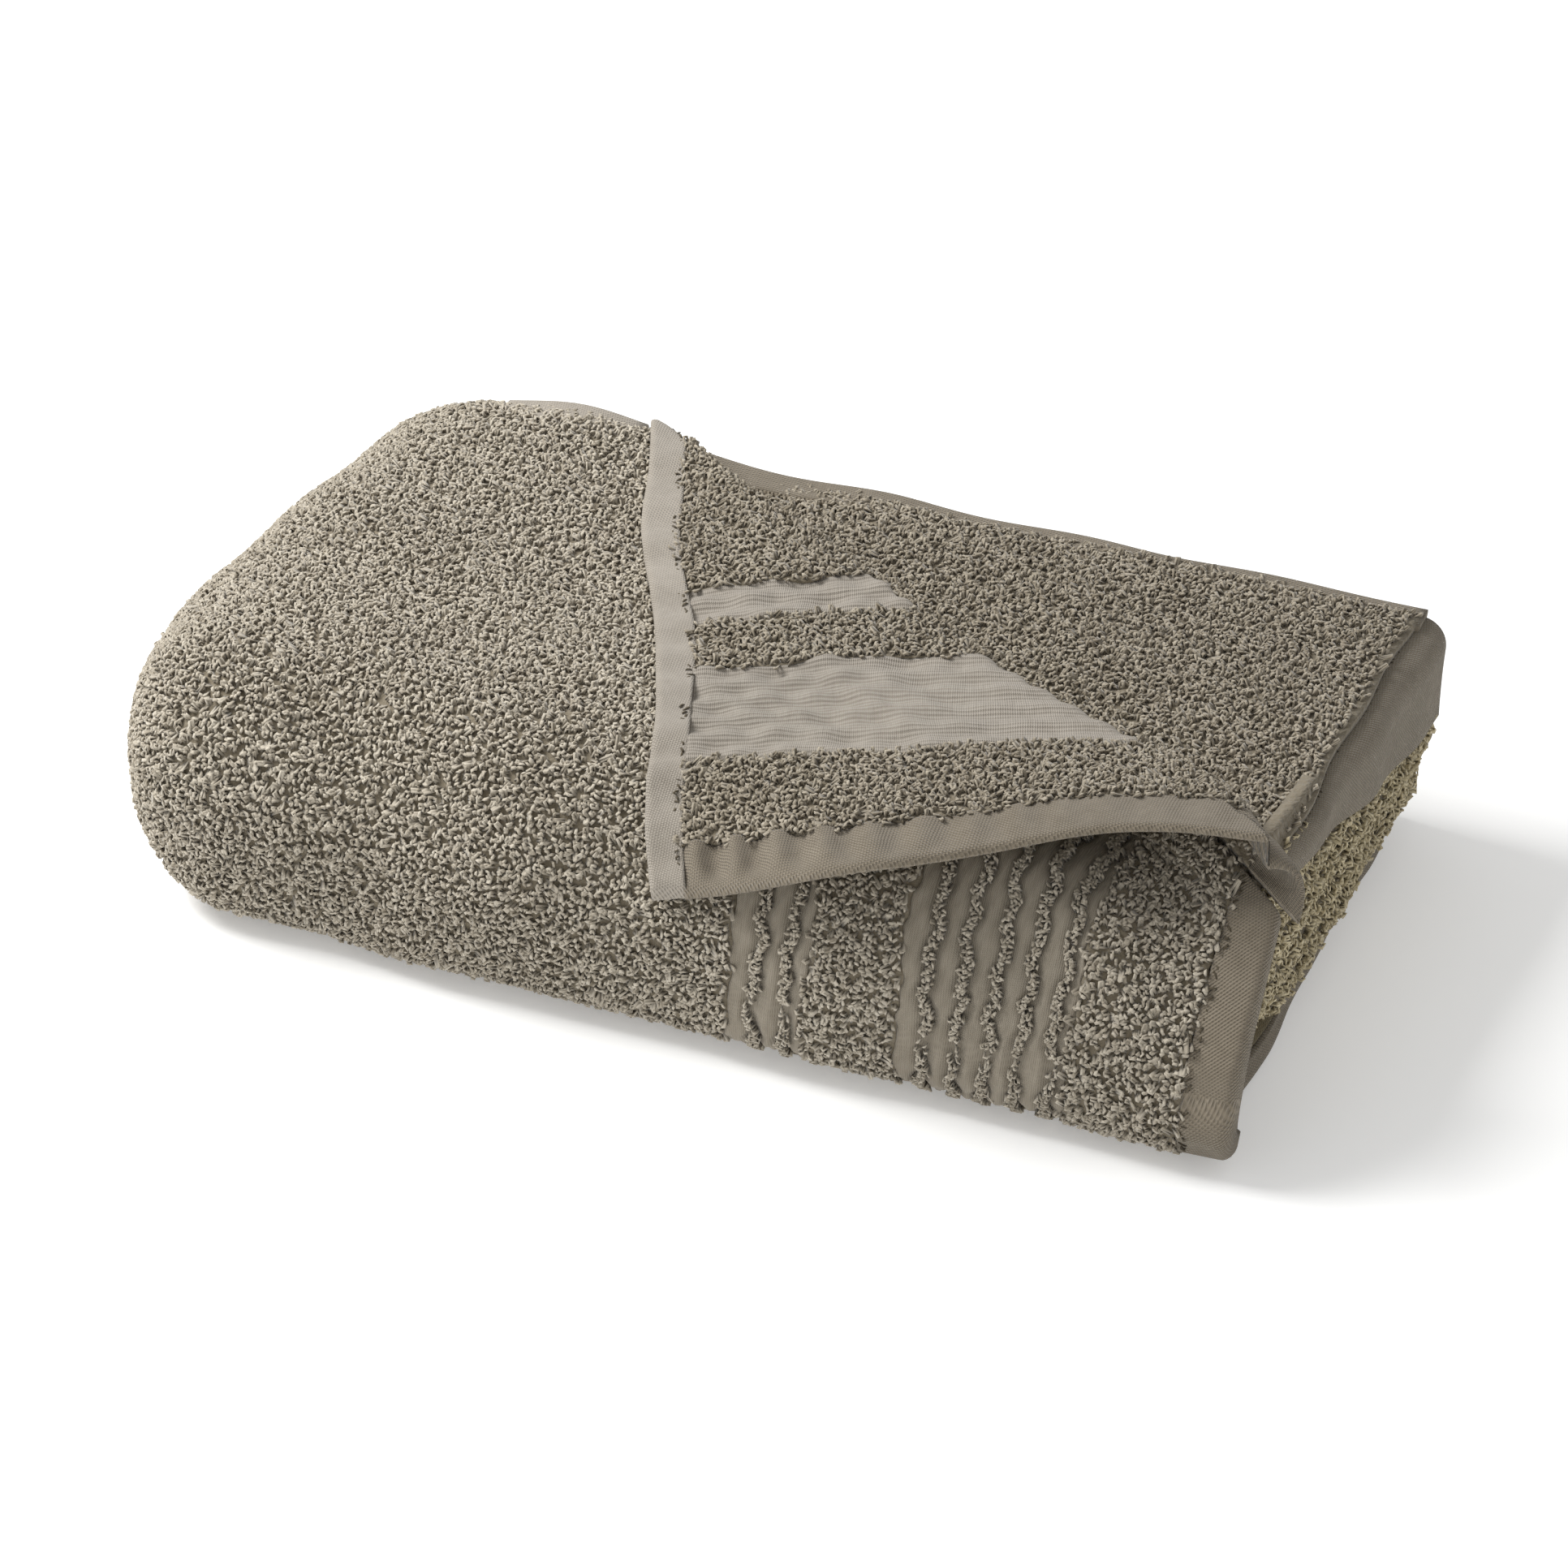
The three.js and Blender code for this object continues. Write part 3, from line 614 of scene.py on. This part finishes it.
hem_finish = round_rear + 40
over = np.linspace(0, 1, 22)[:, None]
along_hem = np.linspace(0, 1, 200)[None, :] * hem_finish
reach = 19.5 * over
flat_run = 180.4 - hem_start - 3
bend = np.clip((reach - flat_run) / 3.0, 0, math.pi / 2)
hem_x = hem_start + np.minimum(reach, flat_run) + 3.0 * np.sin(bend)
hem_depth = 1.5 + 3.0 * (1 - np.cos(bend)) + np.clip(reach - flat_run - 3.0 * math.pi / 2, 0, None)
recede = 9 * smooth(round_bottom - 25, round_bottom + 10, along_hem)
hem_x = hem_x - recede * smooth(0, 20, reach)
hem_x, hem_depth, hem_t = np.broadcast_arrays(hem_x, hem_depth, along_hem)
from_t = fold_line(hem_x)
hem_t = np.where(hem_t < round_bottom, from_t + (round_bottom - from_t) * hem_t / round_bottom, hem_t)
ripple = 0.35 * np.sin(hem_t / 2.15) * np.clip(1 - reach / 16, 0, 1)
end_hem_cloth = add_slab("end_hem_cloth", on_outer(hem_x, hem_t, hem_depth - ripple),
                         on_outer(hem_x - 2.4 * np.sin(bend), hem_t, hem_depth + 2.6 * np.cos(bend)),
                         hem_twill, reach, hem_t)
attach(end_hem_cloth, "folded_pile")
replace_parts(end_hem_cloth, "end_hem")


def add_stitches(name, points, ups, length, seed):
    """A row of sewn stitches through the points, each a short yarn that dips at both ends."""
    way = np.gradient(points, axis=0)
    piece = tufts(name, points, ups, way, seam_thread, seed, height=0.55, width=length, yarn=0.3, lean=0.0)
    return piece


t = np.arange(160, round_bottom + 20, 2.6)
line = on_outer(hem_start + 1.8, t, 1.35)
hem_stitches = add_stitches("end_hem_stitches", line, on_outer(hem_start + 1.8, t, 0.3) - line, 1.9, 91)
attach(hem_stitches, "folded_pile")
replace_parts(hem_stitches, "end_hem_stitching")

# ---------------------------------------------------------------- second ply
# The layer under the turned-back corner: plain terry up to its own hem, which rolls down over
# the right end, further at the rear than at the front.

second_x = np.linspace(-84, 173, 82)[:, None]
second_t = 6 + (np.minimum(fold_line(second_x) + 12, 196) - 6) * np.linspace(0, 1, 70)[None, :]
second_t, second_x = np.broadcast_arrays(second_t, second_x)
puff = 2.6 * smooth(5, 45, fold_line(second_x) - second_t)
second_top = on_pile(second_x, second_t, ply_pitch + loop_height - puff)
second_ground = add_slab("second_ply_ground", second_top, on_pile(second_x, second_t, ply_pitch + 4.0 - puff),
                         terry_ground_painted_shade, second_x, second_t)
spots = scatter(second_x, second_t, second_top, spacing, 7, lambda x, t: (t < fold_line(x) + 8) & (x < 171))
# The second ply's loops take the darker copy of the yarn: painted shade.
second_loops = tufts("second_ply_loops", *spots[:3], shaded_copy_loop_yarn, 41, outward=-1.0, height=2.1)
for piece in (second_ground, second_loops):
    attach(piece, "folded_pile")
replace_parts(second_ground, "second_ply_terry_field")

over = np.linspace(0, 1, 34)[:, None]
hem_row = np.linspace(2, 158, 70)[None, :]
further = smooth(160, 0, hem_row)
turn_radius = 4.5 + 4.5 * further
reach = over * (1.0 + turn_radius * math.pi / 2 + 2.5 + 21 * further)
bend = np.clip((reach - 1.0) / turn_radius, 0, math.pi / 2)
depth = (ply_pitch + 1.6 + turn_radius * (1 - np.cos(bend))
         + np.clip(reach - 1.0 - turn_radius * math.pi / 2, 0, None))
hem_x = 171.5 + np.minimum(reach, 1.0) + turn_radius * np.sin(bend)
edge = rounded(reach[-1:] - reach)


def second_hem_face(below):
    y = np.broadcast_to(rear - hem_row, reach.shape)
    return softened(drawn_in(hem_x - below * edge * np.sin(bend), y,
                             pile_height - depth - below * edge * np.cos(bend)))


second_hem = add_slab("second_ply_hem_cloth", second_hem_face(0), second_hem_face(2.6),
                      hem_twill, reach, hem_row)
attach(second_hem, "folded_pile")
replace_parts(second_hem, "second_ply_end_hem")
t = np.arange(8, 158, 2.4)
line = on_pile(172.6, t, ply_pitch + 1.5)
second_stitches = add_stitches("second_ply_stitches", line, on_pile(172.6, t, 0.3) - line, 1.7, 92)
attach(second_stitches, "folded_pile")

# ---------------------------------------------------------------- plies at the right end
# Under the second ply's hem the third and fourth plies end in one soft fold after another.
# Their loops stand out of the end, and the flat ends of the lowest plies lie back under them.


def behind_front(row, z):
    """Y of a row of the right end, its rows drawn together where the front is rounded."""
    rise = np.clip(z - pile_height + top_radius, 0, top_radius)
    top = np.sqrt(np.clip(top_radius ** 2 - rise ** 2, 0, None))
    foot = 8 * smooth(8, 0, z)
    return rear - row / pile_width * (pile_width - (top_radius - top) - foot - 8)


end_row = np.linspace(1, 190, 90)[None, :]
end_rise = np.linspace(0, 1, 40)[:, None]
end_top = 70.5 - 27 * smooth(160, 0, end_row)
end_low = (13 + 15 * (np.abs(end_row - 85) / 85) ** 2.2
           + 1.8 * np.sin(end_row / 4.7) + 1.2 * np.sin(end_row / 1.9))
end_z = end_top + 5 - (end_top + 5 - end_low) * end_rise
end_y = behind_front(end_row, end_z)
end_x = (171.3 + 3.2 * smooth(160, 0, end_row) + 3.4 * smooth(0, 0.4, end_rise)
         + 0.7 * np.sin(end_z / 1.55) - 5 * (1 - rounded(1 - end_rise, 0.15)))
end_x, end_y, end_z = np.broadcast_arrays(end_x, end_y, end_z)
fold_wall = softened(drawn_in(end_x, end_y, end_z))
inward_wall = softened(drawn_in(end_x - 4, end_y, end_z))
end_folds = add_slab("folded_ply_ends", fold_wall, inward_wall, terry_ground_painted_shade, end_row, end_z)
# A lighter, warmer copy of the loop yarn for the loops at the right end, its colour set against the shade
# there: painted light.
end_painted_light_yarn = new_cloth("shaded_loop_yarn", yarn_look(shade(156, 143, 112), shade(226, 212, 176)),
                     bump=0.3, depth=0.0002)
wide_spacing = 1.8    # between loops where they are coarse or hidden
spots = scatter(np.broadcast_to(end_rise, end_z.shape), end_row, fold_wall, wide_spacing, 9,
                lambda x, t: x > 0.1)
side_way = np.sign(normals_of(fold_wall)[..., 0].mean())
end_loops = tufts("folded_ply_end_loops", *spots[:3], end_painted_light_yarn, 43, outward=side_way, height=2.4, width=1.9)
for piece in (end_folds, end_loops):
    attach(piece, "folded_pile")
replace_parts(end_folds, "third_ply", "fourth_ply", "third_to_fourth_ply_fold")

low_z = 3.0 + (end_low + 6 - 3.0) * (1 - end_rise)
low_x = 170.5 + 0.9 * np.sin(low_z / 1.5)
low_wall = softened(drawn_in(low_x, behind_front(end_row, low_z), low_z))
# The lowest plies' flat ends take the darkest copy of the twill: painted shade.
low_ends = add_slab("lowest_ply_ends", low_wall, low_wall - np.array([4.0, 0, 0]), low_painted_shade_twill, end_row, low_z)
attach(low_ends, "folded_pile")

# ---------------------------------------------------------------- side hems at the rear
# Each ply ends at the rear in the towel's two long side hems, narrow and flat. All eight
# lie one on another.


def side_hem(name, level, x_from, x_to, seed, material=hem_twill):
    roll = np.random.default_rng(seed)
    x = np.linspace(x_from, x_to, max(12, int((x_to - x_from) / 4)))[:, None]
    inward = np.linspace(0, 1, 12)[None, :] ** 1.6 * 12.0
    shift = roll.uniform(-0.8, 0.5) + 0.5 * np.sin(x / roll.uniform(14, 25) + seed)
    half = 1.55 * rounded(inward, 1.8)
    middle = level + 0.35 * np.sin(x / roll.uniform(9, 17) + seed)
    y = rear - inward + shift

    def face(side):
        return softened(np.stack(np.broadcast_arrays(x, y, middle + side * half), -1))
    piece = add_slab(name, face(1), face(-1), material, x, inward)
    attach(piece, "folded_pile")
    return piece


for index in range(4):
    depth = index * ply_pitch + 3.0
    ends = [fold_start - 1, 174, 170, 170]
    raised = [0, 2.2, 1.2, 0][index]
    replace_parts(side_hem(f"upper_side_hem_{index + 1}", pile_height - depth + raised,
                         roll_start + 3, ends[index], index, lit_hem_twill if index == 0 else hem_twill),
                f"first_side_hem_of_ply_{index + 1}")
    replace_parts(side_hem(f"lower_side_hem_{index + 1}", 2 * rear_radius + 2.0 + index * ply_pitch,
                         roll_start + 3, 171, index + 10), f"second_side_hem_of_ply_{index + 1}")

# ---------------------------------------------------------------- cloth of the turned-back corner
# The corner of the outer ply is turned back over the pile, so its wrong side shows. It turns in
# a roll of cloth that is pressed flat at the rear and opens to a dark curl at the right end.

row_way = np.array([math.cos(math.radians(side_angle - 90)), math.sin(math.radians(side_angle - 90))])
side_way_in = np.array([row_way[1], -row_way[0]])
corner_place = np.array([fold_start, 0.0]) + side_length * np.array(
    [math.cos(math.radians(side_angle)), math.sin(math.radians(side_angle))])
spread = math.radians(side_angle - fold_angle)
fold_length = side_length / math.cos(spread)
tight, wide = 4.65, 10.0


def fold_radius(along):
    return tight + (wide - tight) * smooth(0.45, 1.02, along / fold_length)


def gathered(h, q):
    """The corner hangs over the front, which draws the rows together near its side hem."""
    return h + np.interp(h, [0, 51, 148, side_length], [12.5, -0.5, -13, 0]) * (1 - smooth(0, 80, q))


def row_end(h):
    """Length of the corner's row at h from its cloth edge, up to the fold and round it."""
    to_fold = side_length - h
    for _ in range(4):
        to_fold = side_length - gathered(h, to_fold * math.tan(spread))
    return to_fold * math.tan(spread) + math.pi * fold_radius(to_fold / math.cos(spread)) / math.cos(spread)


def on_corner(h, q, height):
    """A point of the turned corner: h from its end hem's edge, q from its side hem's edge."""
    h, q, height = np.broadcast_arrays(np.asarray(h, float), np.asarray(q, float), np.asarray(height, float))
    pulled = (7.5 * np.exp(-((h - 92) / 52) ** 2) + 3.5 * smooth(110, 0, h)) * (1 - smooth(0, 70, q))
    row = gathered(h, q)
    place = corner_place + row[..., None] * side_way_in + (q + pulled)[..., None] * row_way
    from_start = place - np.array([fold_start, 0.0])
    along, off = from_start @ fold_way, from_start @ off_fold
    row_along = (side_length - row) / math.cos(spread)
    along = np.where(off < 0, row_along + (along - row_along) * 0.45, along)
    radius = fold_radius(along)
    flat = np.maximum(off, 0)
    spot = np.array([fold_start, 0.0]) + along[..., None] * fold_way + flat[..., None] * off_fold
    x, s = spot[..., 0], spot[..., 1] + fold_bend(spot[..., 0]) * (1 - smooth(0, 90, flat))
    t = np.where(s > flat_top, flat_top + (s - flat_top) * 0.946, s)
    lift = 2 * (radius - tight) * (1 - smooth(radius, 90, off))
    laid = unsoftened(x, t, -(height + lift))
    over = np.clip(s - flat_top, 0, None)
    stiff = (top_radius + height) / (1 - 0.9 * smooth(0, 75, q))
    bridge = drawn_in(x, front + top_radius - stiff * np.sin(over / stiff),
                      pile_height + height + lift - stiff * (1 - np.cos(over / stiff)))
    laid = np.where((over > 0)[..., None], bridge, laid)
    base = unsoftened(x, t, 0)
    up = unsoftened(x, t, -1) - base
    out = unsoftened(x - off_fold[0], t - off_fold[1], 0) - base
    out /= np.maximum(np.linalg.norm(out, axis=-1, keepdims=True), 1e-9)
    angle = np.clip(math.pi / 2 + off / radius, -math.pi / 2, math.pi / 2)
    ring = (radius - 4.8 + height)[..., None]
    round_fold = np.cos(angle)[..., None] * out + np.sin(angle)[..., None] * up
    curled = base + up * (radius - 4.5)[..., None] + ring * round_fold
    return softened(np.where((off < 0)[..., None], curled, laid))


rows = {"outer": 17.0, "wide": 50.0, "inner": 101.0, "narrow": 128.0, "field": 148.0}


def row_wave(h, q):
    return h + 0.45 * np.sin(q / 8.1 + h) + 0.35 * np.sin(q / 3.7 + h * 1.3)


def corner_grid(h_from, h_to, steps, q_from, columns, height, wavy=(True, True)):
    share = np.linspace(0, 1, steps)[:, None]
    across = np.linspace(0, 1, columns)[None, :]
    flat_h = h_from + (h_to - h_from) * share
    q = q_from + (row_end(flat_h) - q_from) * across
    low = row_wave(h_from, q) if wavy[0] else h_from
    high = row_wave(h_to, q) if wavy[1] else h_to
    h = low + (high - low) * share
    return h, q, on_corner(h, q, height(h, q) if callable(height) else height)


def turn_with_corner(piece):
    """Bakes the piece's transform into its mesh; its points already bend round the fold."""
    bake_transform(piece)


def corner_cloth(name, h_from, h_to, steps, top, material, q_from=11.0, columns=90, wavy=(True, True)):
    h, q, upper = corner_grid(h_from, h_to, steps, q_from, columns, top, wavy)
    lower = on_corner(h, q, 0.3)
    piece = add_slab(name, upper, lower, material, q, h)
    turn_with_corner(piece)
    return piece


def puckered(h, q):
    """Flat cloth drawn up by the loops beside it: low ridges along the rows, with dimples."""
    ridges = 0.5 * np.sin((h - rows["wide"]) * 2 * math.pi / 9.8)
    dimples = (0.62 * np.sin(q / 2.6 + np.sin(h / 6)) * np.sin(h / 3.4 + q / 19)
               + 0.55 * np.sin(q / 6.3 + h / 9))
    return 2.7 + ridges + dimples * np.clip((140 - q) / 60, 0.25, 1)


corner_wide = corner_cloth("corner_wide_cloth", rows["wide"], rows["inner"], 60, puckered,
                           ribbed_cotton, columns=150)
corner_narrow = corner_cloth("corner_narrow_cloth", rows["narrow"], rows["field"], 30, puckered,
                             ribbed_cotton, columns=110)
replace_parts(corner_wide, "corner_wide_flat_band")
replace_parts(corner_narrow, "corner_narrow_flat_band")

# ---------------------------------------------------------------- terry of the turned-back corner
# The wrong side has loops too, in the same rows as the right side. Those of the side that
# faces down are shorter and set wider.


def corner_terry(name, h_from, h_to, node, seed, wavy=(True, True)):
    base = corner_cloth(name + "_ground", h_from, h_to, 26, 2.8, terry_ground_painted_shade, wavy=wavy)
    h, q, upper = corner_grid(h_from, h_to, 26, 11.0, 90, 2.8, wavy)
    spots = scatter(h, q, upper, spacing, seed)
    facing = np.sign((normals_of(upper) * (upper - on_corner(h, q, 0.3))).sum(-1).mean())
    # The loops that face up take the darker copy of the yarn, painted shade; those that face down take the
    # plain yarn.
    loops = tufts(name + "_loops", *spots[:3], shaded_copy_loop_yarn, seed, outward=facing)
    h, q, lower = corner_grid(h_from, h_to, 26, 11.0, 90, 0.6, wavy)
    spots = scatter(h, q, lower, wide_spacing, seed + 4)
    hidden = tufts(name + "_under_loops", *spots[:3], loop_yarn, seed + 4, outward=-facing, height=1.5)
    turn_with_corner(loops)
    turn_with_corner(hidden)
    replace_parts(base, *node)


corner_terry("corner_outer_terry", rows["outer"], rows["wide"],
             ["corner_outer_terry_band"], 51)
corner_terry("corner_inner_terry", rows["inner"], rows["narrow"],
             ["corner_inner_terry_band"], 52)
corner_terry("corner_field", rows["field"], side_length - 12,
             ["corner_terry_field", "corner_fold"], 53, (True, False))

# ---------------------------------------------------------------- hems of the turned-back corner
# The end hem runs on round the curl into the hem at the front. The side hem is narrower, and
# its stitches draw it in.

hem_h = np.linspace(0, 1, 26)[:, None] ** 1.3 * rows["outer"]
hem_across = np.linspace(0, 1, 170)[None, :]
hem_q = 10.5 + hem_across * (row_end(hem_h) - 10.5)
wave = 1.35 * np.sin(hem_q / 2.1 + 0.6 * np.sin(hem_q / 17))
wave = wave * smooth(0, 9, hem_h) * np.clip(1.25 - hem_q / 120, 0.2, 1)
half = 1.5 * rounded(hem_h + 0 * hem_q)
corner_hem = add_slab("corner_end_hem_cloth", on_corner(hem_h, hem_q, 1.8 + wave + half),
                      on_corner(hem_h, hem_q, 1.8 + wave - half), hem_twill, hem_q, hem_h)
turn_with_corner(corner_hem)
side_h = np.linspace(0, side_length - 2, 150)[:, None]
side_q = np.linspace(0, 1, 16)[None, :] ** 1.4 * np.minimum(11.4, row_end(side_h))
half = 1.6 * np.minimum(rounded(side_q + 0.05), rounded(side_h))
side_wave = 0.5 * np.sin(side_h / 3.3 + 0.5 * np.sin(side_h / 9))
corner_side = add_slab("corner_side_hem_cloth", on_corner(side_h, side_q, 1.8 + side_wave + half),
                       on_corner(side_h, side_q, 1.8 + side_wave - half), lit_hem_twill, side_q, side_h)
turn_with_corner(corner_side)
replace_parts(corner_hem, "corner_end_hem")
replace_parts(corner_side, "corner_side_hem")

q = np.arange(12, 172, 2.3)
line = on_corner(16.8, q, 3.3)
end_stitches = add_stitches("corner_end_stitches", line, on_corner(16.8, q, 4.3) - line, 1.8, 93)
h = np.arange(4, 228, 2.3)
line = on_corner(h, 9.6, 3.2)
side_stitches = add_stitches("corner_side_stitches", line, on_corner(h, 9.6, 4.2) - line, 1.8, 94)
for piece, node in ((end_stitches, "corner_end_hem_stitching"), (side_stitches, "corner_side_hem_stitching")):
    turn_with_corner(piece)
    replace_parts(piece, node)

# ---------------------------------------------------------------- room
# A pale floor that glows a little, so that it stays near white, one broad lamp high at the
# left, even light from all round, and the camera.

bpy.ops.mesh.primitive_plane_add(size=8, location=(0, 0, -0.0015))
floor = bpy.context.object
floor.name = "floor"
floor_paint = bpy.data.materials.new("floor_paint")
floor_paint.use_nodes = True
floor_skin = floor_paint.node_tree.nodes["Principled BSDF"]
floor_skin.inputs["Base Color"].default_value = (0.95, 0.95, 0.94, 1)
floor_skin.inputs["Roughness"].default_value = 0.9
floor_skin.inputs["Emission Color"].default_value = (1, 1, 1, 1)
floor_skin.inputs["Emission Strength"].default_value = 0.25
floor.data.materials.append(floor_paint)

world = bpy.data.worlds.new("studio")
bpy.context.scene.world = world
world.use_nodes = True
world.node_tree.nodes["Background"].inputs["Color"].default_value = (1, 1, 1, 1)
world.node_tree.nodes["Background"].inputs["Strength"].default_value = 0.5
bpy.context.scene.view_settings.view_transform = "Standard"


def add_lamp(name, place, target, size, power):
    data = bpy.data.lights.new(name, "AREA")
    data.size, data.energy = size, power
    lamp = bpy.data.objects.new(name, data)
    bpy.context.collection.objects.link(lamp)
    way = np.array(target, float) - np.array(place, float)
    lamp.location = place
    lamp.rotation_euler = (math.atan2(math.hypot(way[0], way[1]), -way[2]), 0,
                           math.atan2(way[0], -way[1]) + math.pi)


add_lamp("key_lamp", (-0.8, -0.05, 0.95), (0, 0, 0.04), 0.6, 17.0)

azimuth, elevation, distance = math.radians(22.683), math.radians(34.943), 1.58303
camera_data = bpy.data.cameras.new("camera")
camera = bpy.data.objects.new("camera", camera_data)
bpy.context.collection.objects.link(camera)
camera.location = (
    0.006 + distance * math.sin(azimuth) * math.cos(elevation),
    -distance * math.cos(azimuth) * math.cos(elevation),
    distance * math.sin(elevation))
camera.rotation_euler = (math.pi / 2 - elevation, 0, azimuth)
camera_data.sensor_width = 36
camera_data.lens = 122.32
camera_data.shift_x, camera_data.shift_y = 0.0092, 0.0472
bpy.context.scene.camera = camera
